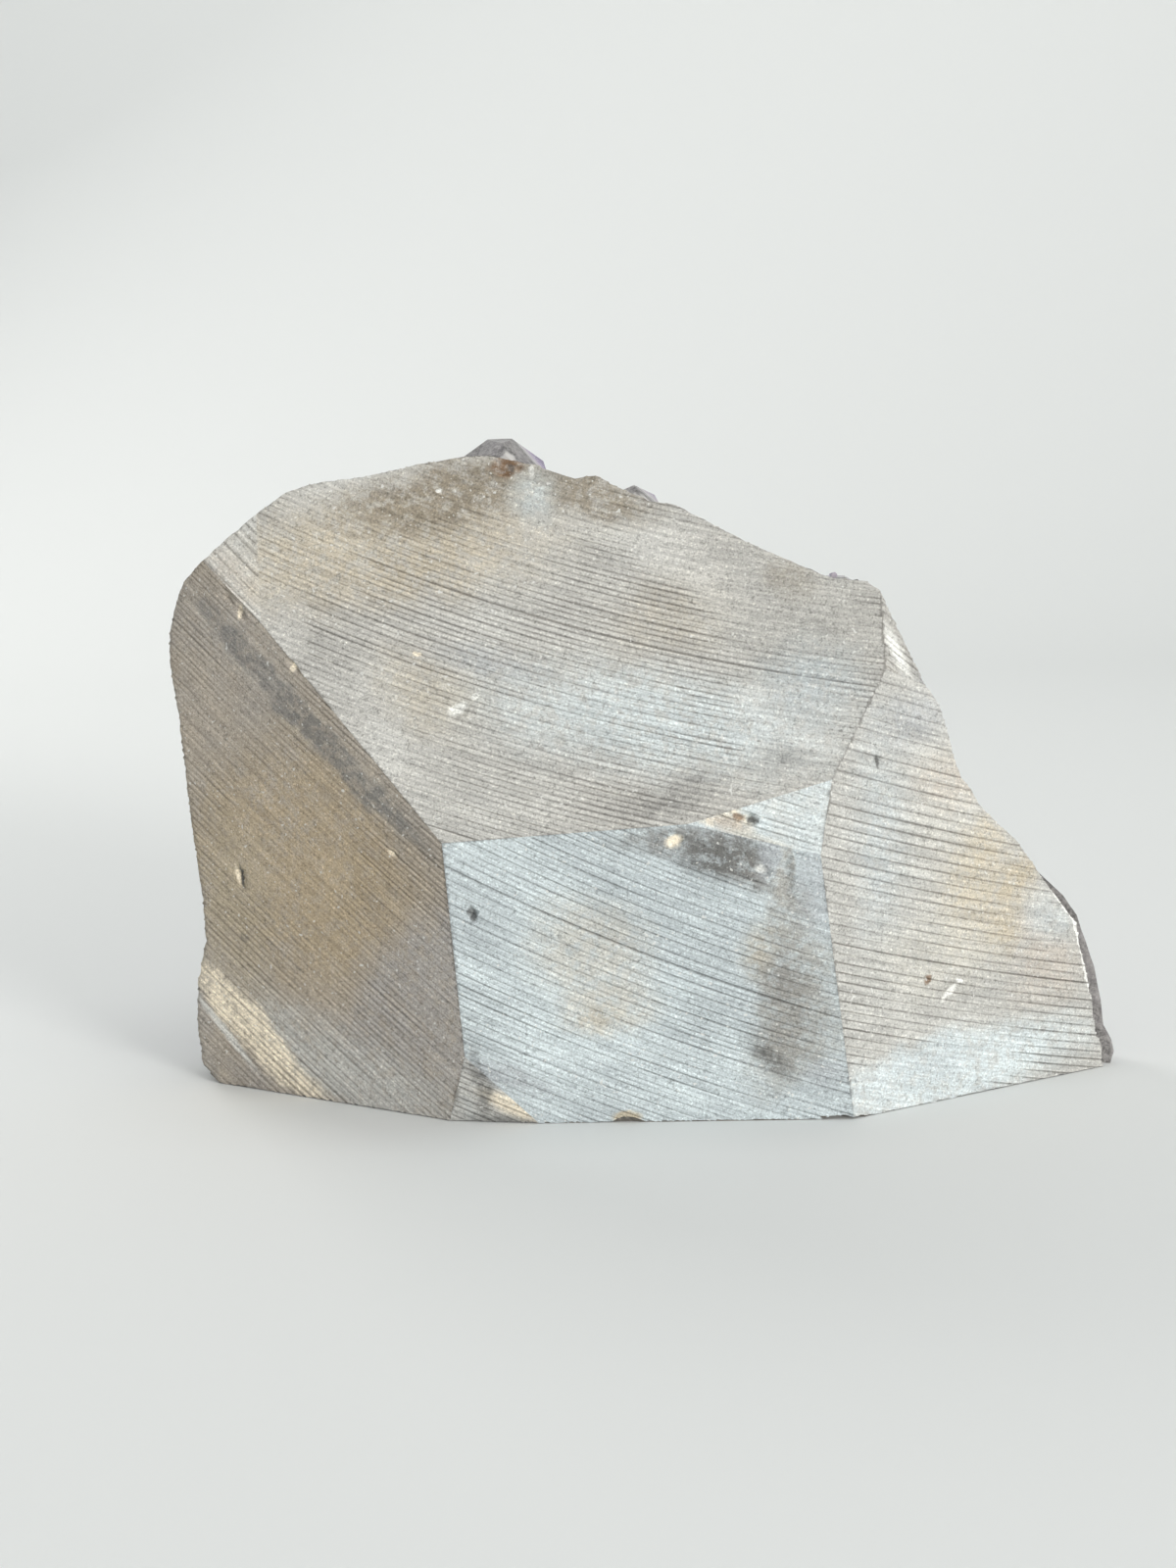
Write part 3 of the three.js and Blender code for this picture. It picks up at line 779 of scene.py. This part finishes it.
def saw_streaks(shader, face):
    """Noise that is drawn out along the saw's arcs."""
    distance = shader.vector("DISTANCE", shader.place, face.blade_centre() / MM)
    along = shader.vector("DOT_PRODUCT", shader.place, face.across)
    drawn_out = shader.math("MULTIPLY", along, STREAK_SHRINK)
    lanes = shader.node("CombineXYZ", {0: distance, 1: drawn_out}).outputs[0]
    return shader.noise(1.3, detail=3.0, roughness=0.6, place=lanes)


def saw_marked(shader, streaks, colour):
    """Darkens the saw marks with dust and painted shade in their grooves, missing in places, and lightens
    the streaks.
    """
    missing = shader.noise(0.5, detail=3.0, roughness=0.6)
    held = shader.ranged(missing, 0.3, 0.65, to_low=0.65)
    # painted shade with dust: the deeper the groove in the mark attribute, the darker
    dust_and_shade = shader.math("MULTIPLY", shader.attribute("mark"), held)
    colour = shader.tint(shader.ranged(dust_and_shade, 0.06, 0.75, to_high=0.9), colour, DUST_AND_SHADE_TINT)
    return shader.tint(shader.ranged(streaks, 0.35, 0.68), colour, STREAK_TINT)


def grained(shader, grain, colour):
    """Adds dark and light specks, fine grain and a few white flecks."""
    specks = shader.noise(0.9, detail=2.0, roughness=0.8)
    colour = shader.tint(shader.ranged(specks, 0.43, 0.32, to_high=0.7), colour, DARK_TINT)
    colour = shader.tint(shader.ranged(specks, 0.6, 0.72), colour, SPECK_TINT)
    colour = shader.tint(shader.ranged(grain, 0.47, 0.34, to_high=0.75), colour, DARK_TINT)
    colour = shader.tint(shader.ranged(grain, 0.54, 0.7), colour, GRAIN_TINT)
    flecks = shader.noise(1.2, detail=0.0, roughness=0.5)
    return shader.mix(shader.ranged(flecks, 0.77, 0.81, to_high=0.7), colour, STONE["white"])


def sawn_stone(face):
    """Sawn stone: mottled grey, stained, with dark saw marks, streaks along them and fine grain."""
    shader = Shader(face.name + "_stone")
    streaks = saw_streaks(shader, face)
    grain = shader.noise(2.2, detail=3.0, roughness=0.7)
    colour = stained(shader, face, mottled_colour(shader, face))
    colour = saw_marked(shader, streaks, colour)
    shader.set("Base Color", grained(shader, grain, colour))
    shader.set("Roughness", shader.ranged(grain, 0.3, 0.7, to_low=0.95, to_high=0.75))
    shader.set("Specular IOR Level", 0.35)
    shader.bump(shader.math("ADD", grain, shader.math("MULTIPLY", streaks, 0.8)), depth=0.1)
    return shader.material


def broken_stone():
    """Natural broken rock: dark grey-brown with lighter crumbs and painted shade in the hollows between
    them.
    """
    shader = Shader("broken_stone")
    patches = shader.noise(0.08, detail=6.0, roughness=0.65)
    colour = shader.mix(shader.ranged(patches, 0.35, 0.65), STONE["broken_dark"], STONE["broken_light"])
    crumbs = shader.noise(0.7, detail=5.0, roughness=0.7)
    colour = shader.mix(shader.ranged(crumbs, 0.52, 0.72, to_high=0.7), colour, STONE["crumb"])
    # painted shade: darkens where the crumbs' bump is lowest
    colour = shader.tint(shader.ranged(crumbs, 0.48, 0.3, to_high=0.7), colour, HOLLOW_SHADE_TINT)
    shader.set("Base Color", colour)
    shader.set("Roughness", 0.92)
    shader.bump(crumbs, depth=0.9)
    return shader.material


def amethyst():
    """Clear violet crystal on a pale, milky foot, with white chalcedony where it meets the rock."""
    shader = Shader("amethyst")
    veins = shader.noise(0.25, detail=4.0, roughness=0.6)
    rise = shader.math("ADD", shader.attribute("rise"), shader.math("MULTIPLY", veins, BAND_WAVES))
    crumbs = shader.noise(0.9, detail=5.0, roughness=0.75)
    colour = shader.mix(shader.ranged(crumbs, 0.38, 0.62), CRUMBS_DARK, CRUMBS_LIGHT)
    colour = shader.mix(shader.ranged(rise, CHALCEDONY_TOP, QUARTZ_FROM), CHALCEDONY, colour)
    colour = shader.mix(shader.ranged(rise, QUARTZ_FROM, QUARTZ_TO), colour, PALE_QUARTZ)
    colour = shader.mix(shader.ranged(rise, QUARTZ_TO, AMETHYST_FROM), colour, VIOLET)
    shader.set("Base Color", colour)
    clear = shader.ranged(rise, QUARTZ_TO, AMETHYST_FROM, to_low=0.1, to_high=0.8)
    shader.set("Transmission Weight", clear)
    shader.set("Roughness", shader.ranged(rise, QUARTZ_FROM, QUARTZ_TO, to_low=0.55, to_high=0.06))
    shader.set("IOR", QUARTZ_IOR)
    uneven = shader.ranged(rise, QUARTZ_FROM, QUARTZ_TO, to_low=1.0, to_high=0.01)
    shader.bump(shader.math("MULTIPLY", crumbs, uneven), depth=0.9)
    depth = shader.node("VolumeAbsorption", {"Color": (*VIOLET_DEPTH, 1.0), "Density": VIOLET_DENSITY})
    shader.feed(shader.output.inputs["Volume"], depth.outputs[0])
    return shader.material


def keep_rise(mesh, rock):
    """Keeps each vertex's height over the rock, in millimetres, as an attribute."""
    rise = mesh.verts.layers.float.new("rise")
    for vert in mesh.verts:
        vert[rise] = rock.find_nearest(vert.co)[3] / MM
    return rise


def crystal_crust(material, rock):
    """The large crystals and their foot, with each vertex's height over the rock."""
    mesh = node_mesh("amethyst_crystals")
    rise = keep_rise(mesh, rock)
    for vert in mesh.verts:
        if vert.co.z < SAWN_BASE_TOP:
            vert[rise] = min(vert[rise], QUARTZ_TO)
        if vert.co.z > CREST_FOOT and vert.co.y < DUSTY_BEFORE:
            vert[rise] = min(vert[rise], QUARTZ_FROM)
    finished_piece("amethyst_crust", mesh, [material], "amethyst_crystals")


def crystal_ring(mesh, place, turn, spin, radius, level, shift):
    """Adds six corners around a crystal, every second one higher by a shift and the others lower."""
    ring = []
    for corner in range(6):
        angle = spin + corner * math.pi / 3.0
        height = level + (shift if corner % 2 else -shift)
        local = Vector((radius * math.cos(angle), radius * math.sin(angle), height))
        ring.append(mesh.verts.new(place + turn @ local))
    return ring


def add_point_crystal(mesh, place, direction, radius, height, random):
    """Adds a small six-sided crystal with a pointed tip."""
    turn = direction.to_track_quat("Z", "Y").to_matrix()
    spin = random.uniform(0.0, math.pi / 3.0)
    low = crystal_ring(mesh, place, turn, spin, 0.9 * radius, -0.5 * height, 0.0)
    high = crystal_ring(mesh, place, turn, spin, radius, height - radius, 0.18 * radius)
    tip = mesh.verts.new(place + turn @ Vector((0.15 * radius, 0.0, height)))
    for corner in range(6):
        after = (corner + 1) % 6
        mesh.faces.new((low[corner], low[after], high[after], high[corner]))
        mesh.faces.new((high[corner], high[after], tip))
    mesh.faces.new(list(reversed(low)))


def crystal_spots(data, rock):
    """The faces of the crystals' foot that may carry small crystals."""
    spots = []
    low, high = SMALL_RISE
    for face in data.polygons:
        rise = rock.find_nearest(face.center)[3] / MM
        if low < rise < high and face.normal.y > SMALL_FACING and face.center.z > SMALL_OVER_BASE:
            spots.append(face)
    return spots


def has_room(place, tip, radius, rock):
    """Whether a crystal clears the base, keeps inside the part's width and doesn't look over the crest."""
    low, high = cad_box
    if min(place.z, tip.z) < radius or not low[0] + radius < tip.x < high[0] - radius:
        return False
    over_tip = tip + Vector((0.0, 0.0, 2.0 * radius))
    return rock.ray_cast(over_tip, Vector((0.0, -1.0, 0.0)))[0] is not None


def small_crystals(material, rock):
    """Strews small crystals over the foot between the large ones."""
    random = np.random.default_rng(SMALL_SEED)
    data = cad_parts["amethyst_crystals"].data
    spots = crystal_spots(data, rock)
    areas = [face.area for face in spots]
    mesh = bmesh.new()
    for index in random.choice(len(spots), SMALL_CRYSTALS, p=np.array(areas) / sum(areas)):
        corners = [data.vertices[number].co for number in spots[index].vertices]
        first, second = sorted(random.random(2))
        place = corners[0] * first + corners[1] * (second - first) + corners[2] * (1.0 - second)
        lean = Vector(random.normal(0.0, SMALL_LEAN, 3))
        direction = (spots[index].normal + SMALL_OUTWARDS + lean).normalized()
        radius = MM * random.uniform(*SMALL_RADIUS)
        height = radius * random.uniform(*SMALL_HEIGHT)
        if has_room(place, place + direction * height, radius, rock):
            add_point_crystal(mesh, place, direction, radius, height, random)
    keep_rise(mesh, rock)
    finished_piece("small_crystals", mesh, [material])


def crystals():
    rock = node_tree("wall_rock")
    material = amethyst()
    crystal_crust(material, rock)
    small_crystals(material, rock)


def stage_sweep():
    """A pale floor that bends up into a pale wall far behind the object."""
    half_width, front, bend_from, bend, top, steps = 5.0, -4.0, 0.9, 0.8, 3.5, 16
    profile = [(front, 0.0)]
    for step in range(steps + 1):
        angle = step / steps * math.pi / 2.0
        profile.append((bend_from + bend * math.sin(angle), bend * (1.0 - math.cos(angle))))
    profile.append((bend_from + bend, top))
    verts = [(side * half_width, y, z) for y, z in profile for side in (-1.0, 1.0)]
    faces = [(2 * row, 2 * row + 1, 2 * row + 3, 2 * row + 2) for row in range(len(profile) - 1)]
    data = bpy.data.meshes.new("pale_sweep")
    data.from_pydata(verts, [], faces)
    data.shade_smooth()
    shader = Shader("pale_stage")
    shader.set("Base Color", (*STAGE_COLOUR, 1.0))
    shader.set("Roughness", 0.7)
    data.materials.append(shader.material)
    sweep = bpy.data.objects.new("pale_sweep", data)
    bpy.context.collection.objects.link(sweep)


def soft_light(name, place, aim, size, power, colour=(1.0, 1.0, 1.0)):
    """A square light that is aimed at a place, in metres and watts."""
    data = bpy.data.lights.new(name, "AREA")
    data.size = size
    data.energy = power
    data.color = colour
    light = bpy.data.objects.new(name, data)
    light.location = place
    light.rotation_euler = (Vector(aim) - Vector(place)).to_track_quat("-Z", "Y").to_euler()
    bpy.context.collection.objects.link(light)


def stage_lights():
    """A large warm light from the low right, weak ones from above and behind, and a wash on the wall."""
    middle = (0.0, 0.0, 0.07)
    soft_light("key", (1.35, -1.92, 0.42), middle, size=0.6, power=43.0, colour=(1.0, 0.985, 0.96))
    soft_light("ceiling", (0.3, -0.5, 1.4), middle, size=0.6, power=3.2)
    soft_light("far_side", (-0.8, 1.0, 0.9), middle, size=0.6, power=5.0, colour=(1.0, 0.98, 0.96))
    soft_light("wall_wash", (0.0, 0.3, 2.2), (0.0, 1.7, 0.7), size=1.2, power=9.0)


def pale_room():
    """Weak even light from all sides, and colours shown as they are."""
    world = bpy.data.worlds.new("pale_room")
    world.use_nodes = True
    background = world.node_tree.nodes["Background"]
    background.inputs["Color"].default_value = (*ROOM_COLOUR, 1.0)
    background.inputs["Strength"].default_value = ROOM_STRENGTH
    bpy.context.scene.world = world
    bpy.context.scene.view_settings.view_transform = "Standard"


def photo_camera():
    """A camera that stands, looks and leans as the one of the photograph."""
    data = bpy.data.cameras.new("photo_camera")
    data.sensor_fit = "VERTICAL"
    data.sensor_height = SENSOR
    data.lens = CAMERA_LENS
    camera = bpy.data.objects.new("photo_camera", data)
    bpy.context.collection.objects.link(camera)
    forward = Vector((0.0, math.cos(CAMERA_DOWN), -math.sin(CAMERA_DOWN)))
    right = Vector((1.0, 0.0, 0.0))
    down = forward.cross(right)
    turned_right = right * math.cos(CAMERA_ROLL) + down * math.sin(CAMERA_ROLL)
    turned_down = down * math.cos(CAMERA_ROLL) - right * math.sin(CAMERA_ROLL)
    turn = Matrix((turned_right, -turned_down, -forward)).transposed()
    camera.matrix_world = Matrix.Translation(CAMERA_PLACE) @ turn.to_4x4()
    bpy.context.scene.camera = camera


photo_camera()
pale_room()
stage_sweep()
stage_lights()
sawn_rock()
crystals()
